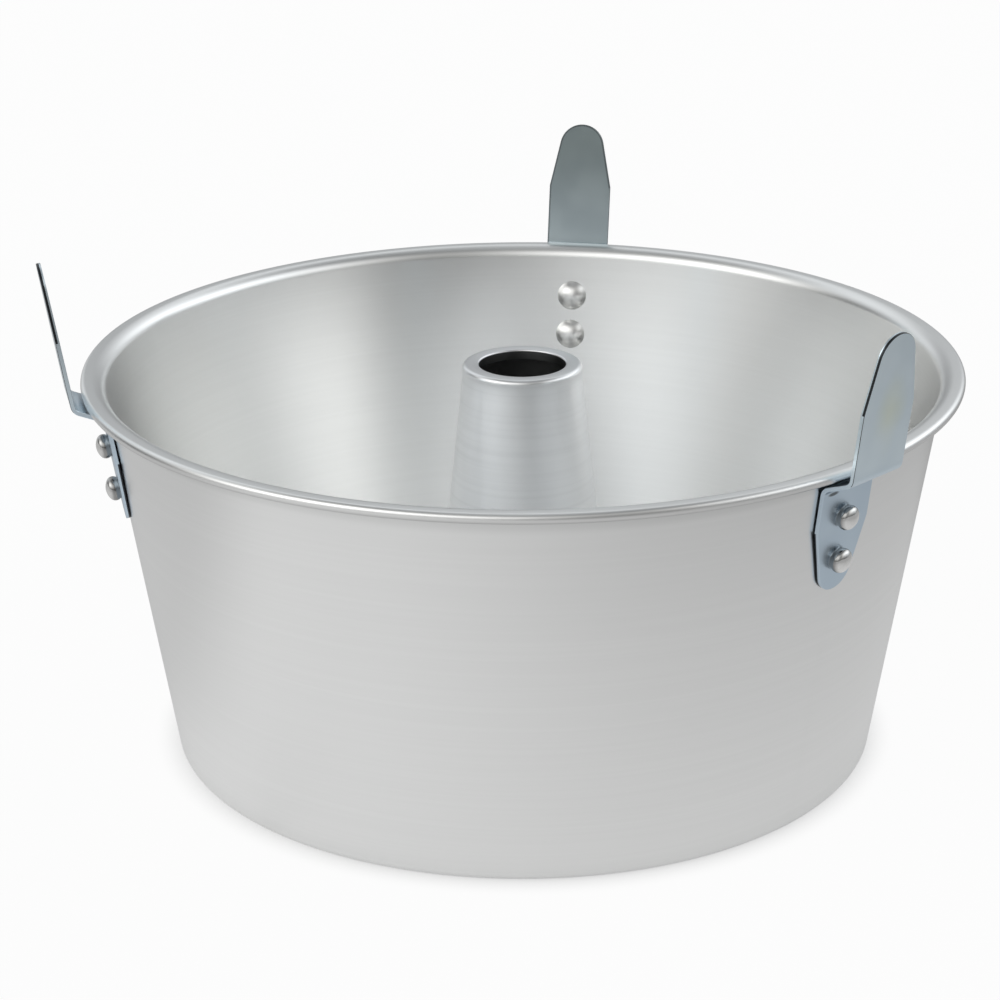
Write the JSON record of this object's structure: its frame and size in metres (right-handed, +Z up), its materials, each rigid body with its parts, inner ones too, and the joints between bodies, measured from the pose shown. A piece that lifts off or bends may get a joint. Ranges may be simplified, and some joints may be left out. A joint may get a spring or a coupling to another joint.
{
  "type": "angel food cake pan",
  "caption": "Round tapered cake pan with a rolled rim, a lift-out base plate with a hollow centre tube, and bent steel feet riveted to the wall for cooling it upside down.",
  "frame": {"origin": "on the pan's axis, in the plane of the resting face under the shell's turned-in ledge", "axes": "+Z up out of the pan's mouth, along the centre tube; -Y towards the front, the side the reference view looks from; +X to that view's right"},
  "size_m": [0.2615, 0.2629, 0.1522],
  "materials": {
    "spun_aluminium": "satin, spun",
    "plate_aluminium": "satin, rolled sheet",
    "tube_aluminium": "satin, spun",
    "zinc_steel": "bright zinc plate, bluish",
    "rivet_aluminium": "polished"
  },
  "bodies": {
    "shell": {"pan_shell": "spun_aluminium", "foot_left": "zinc_steel", "foot_back": "zinc_steel", "foot_right": "zinc_steel", "rivet_left_upper": "rivet_aluminium", "rivet_left_lower": "rivet_aluminium", "rivet_back_upper": "rivet_aluminium", "rivet_back_lower": "rivet_aluminium", "rivet_right_upper": "rivet_aluminium", "rivet_right_lower": "rivet_aluminium"},
    "insert": {"base_plate": "plate_aluminium", "centre_tube": "tube_aluminium"}
  },
  "joints": [
    {"name": "insert_lift", "type": "slide", "parent": "shell", "child": "insert", "axis": [0, 0, 1], "range_m": [0, 0.16]}
  ]
}
